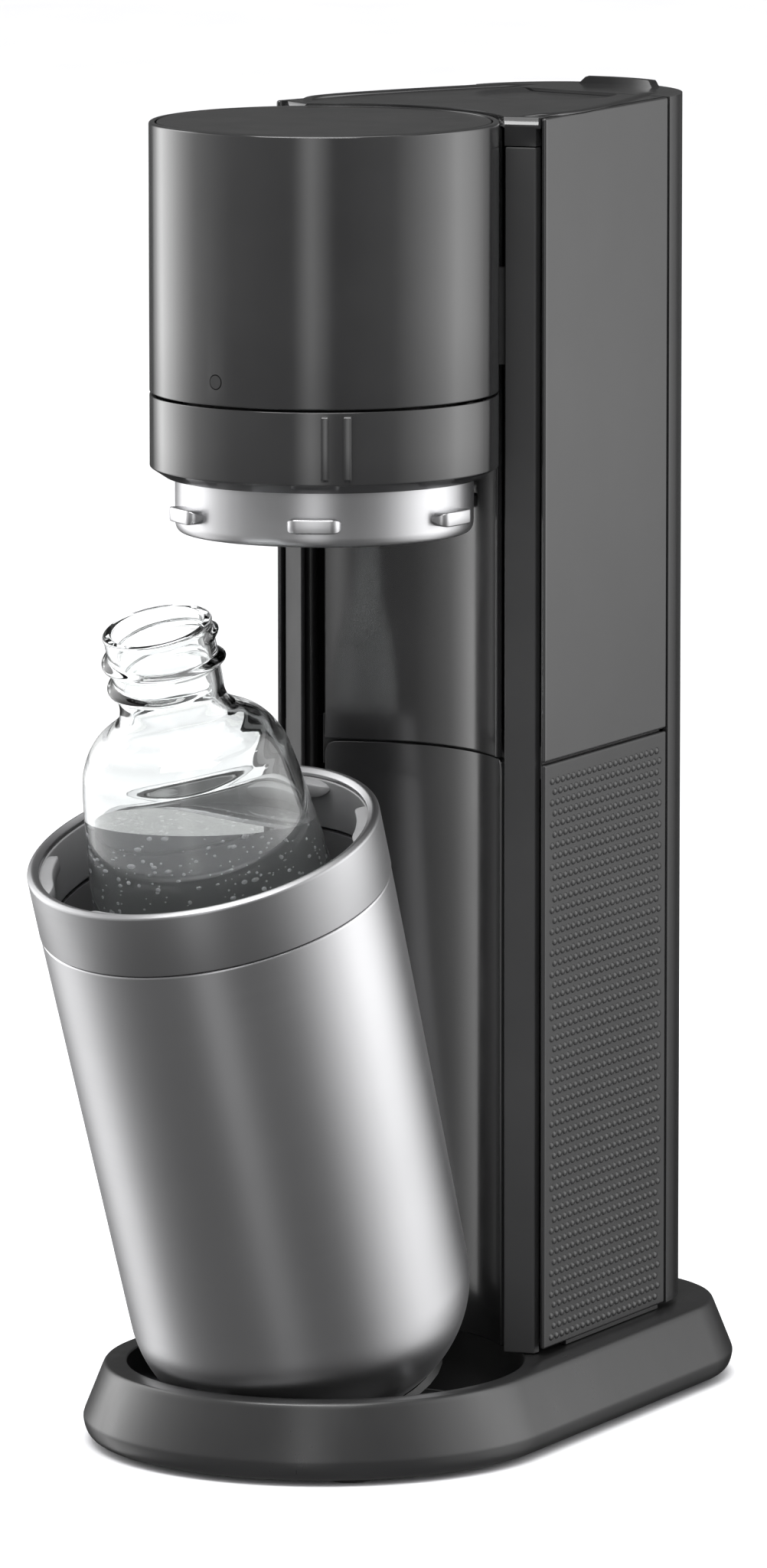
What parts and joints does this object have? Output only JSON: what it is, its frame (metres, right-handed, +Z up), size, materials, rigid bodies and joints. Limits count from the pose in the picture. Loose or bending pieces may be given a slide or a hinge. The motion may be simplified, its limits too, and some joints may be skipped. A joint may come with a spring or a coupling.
{
  "type": "soda carbonator",
  "caption": "Countertop water carbonator: column with a gas cylinder, lowering head with a locking collar, and a tilting steel container that holds a glass carafe.",
  "frame": {"origin": "middle of the bounding box's footprint, on the surface that the feet stand on", "axes": "+Z up, -Y out of the front of the machine, where the container tilts, +X to the right of a person behind it looking forwards"},
  "size_m": [0.16, 0.3118, 0.442],
  "materials": {
    "gloss_shell": "dark graphite moulded shell, high gloss",
    "satin_shell": "dark graphite moulded shell, satin",
    "textured_shell": "dark graphite shell with rows of small raised dashes",
    "dark_structure": "black glass-filled plastic, fine moulded grain",
    "grey_plastic": "mid grey acetal, satin",
    "brushed_steel": "brushed stainless steel, lines around the part",
    "plain_steel": "ground steel",
    "black_steel": "black-finished steel rod",
    "liner_grey": "dark grey satin plastic liner",
    "brass": "machined brass",
    "rubber": "black rubber",
    "cylinder_paint": "light grey powder coat",
    "clear_glass": "clear pressed glass"
  },
  "bodies": {
    "stand": {"base_shell": "satin_shell", "base_plate": "dark_structure", "rubber_foot_1": "rubber", "rubber_foot_2": "rubber", "rubber_foot_3": "rubber", "rubber_foot_4": "rubber", "rubber_foot_5": "rubber", "base_screw_1": "plain_steel", "base_screw_2": "plain_steel", "base_screw_3": "plain_steel", "base_screw_4": "plain_steel", "tilt_bumper": "rubber", "column_frame": "dark_structure", "guide_rod_left": "black_steel", "guide_rod_right": "black_steel", "bay_panel_upper": "gloss_shell", "bay_panel_lower": "gloss_shell", "front_pillar_left": "satin_shell", "front_pillar_right": "satin_shell", "side_panel_upper_left": "gloss_shell", "side_panel_upper_right": "gloss_shell", "side_panel_lower_left": "textured_shell", "side_panel_lower_right": "textured_shell", "top_cover": "gloss_shell", "cylinder_seat": "dark_structure", "quick_connect_body": "dark_structure", "release_lever_pin": "plain_steel", "gas_hose": "rubber"},
    "head": {"head_cover": "gloss_shell", "alignment_mark": "dark_structure", "head_chassis": "dark_structure", "trigger_pin": "plain_steel", "valve_body": "brass", "bottle_seal": "rubber", "carbonating_nozzle": "grey_plastic", "relief_valve": "brass", "button_spring": "plain_steel"},
    "collar": {"locking_collar": "gloss_shell", "bayonet_ring": "brushed_steel"},
    "button": {"press_button": "gloss_shell"},
    "trigger": {"trigger_lever": "plain_steel"},
    "valve_pin": {"valve_stem": "plain_steel"},
    "container": {"tilt_cradle": "dark_structure", "cradle_pin_left": "plain_steel", "cradle_pin_right": "plain_steel", "container_shell": "brushed_steel", "container_rim_band": "brushed_steel", "bayonet_socket": "grey_plastic", "container_liner": "liner_grey", "carafe_rest": "rubber"},
    "carafe": {"glass_carafe": "clear_glass"},
    "back": {"rear_cover": "gloss_shell"},
    "cylinder": {"gas_cylinder": "cylinder_paint", "cylinder_valve": "brass"},
    "lever": {"release_lever": "grey_plastic"}
  },
  "joints": [
    {"name": "head_slide", "type": "slide", "parent": "stand", "child": "head", "axis": [0, 0, 1], "range_m": [-0.044, 0], "deforming": ["gas_hose"]},
    {"name": "collar_turn", "type": "hinge", "parent": "head", "child": "collar", "pos_m": [0, -0.03568, 0.33], "axis": [0, 0, 1], "range_deg": [-42, 0]},
    {"name": "button_press", "type": "slide", "parent": "head", "child": "button", "axis": [0, 0, -1], "range_m": [0, 0.004], "stiffness_N_per_m": 800, "springref_m": -0.002, "deforming": ["button_spring"]},
    {"name": "trigger_swing", "type": "hinge", "parent": "head", "child": "trigger", "pos_m": [-0.03, -0.03568, 0.4228], "axis": [0, 1, 0], "range_deg": [0, 8]},
    {"name": "valve_stem_push", "type": "slide", "parent": "head", "child": "valve_pin", "axis": [0, 0, -1], "range_m": [0, 0.0042]},
    {"name": "container_tilt", "type": "hinge", "parent": "stand", "child": "container", "pos_m": [0, -0.03568, 0.009], "axis": [1, 0, 0], "range_deg": [-17.92, 0]},
    {"name": "carafe_lift", "type": "slide", "parent": "container", "child": "carafe", "axis": [0, -0.3077, 0.9515], "range_m": [0, 0.28]},
    {"name": "rear_cover_off", "type": "slide", "parent": "stand", "child": "back", "axis": [0, 1, 0], "range_m": [0, 0.16]},
    {"name": "cylinder_out", "type": "slide", "parent": "stand", "child": "cylinder", "axis": [0, 1, 0], "range_m": [0, 0.1]},
    {"name": "lever_lift", "type": "hinge", "parent": "stand", "child": "lever", "pos_m": [0, 0.07632, 0.398], "axis": [1, 0, 0], "range_deg": [0, 35]}
  ],
  "couplings": [
    {"joint": "trigger_swing", "follows": "button_press", "rad_per_m": 33.333},
    {"joint": "valve_stem_push", "follows": "button_press", "ratio": 1},
    {"joint": "cylinder_out", "follows": "rear_cover_off", "ratio": 0.6}
  ]
}
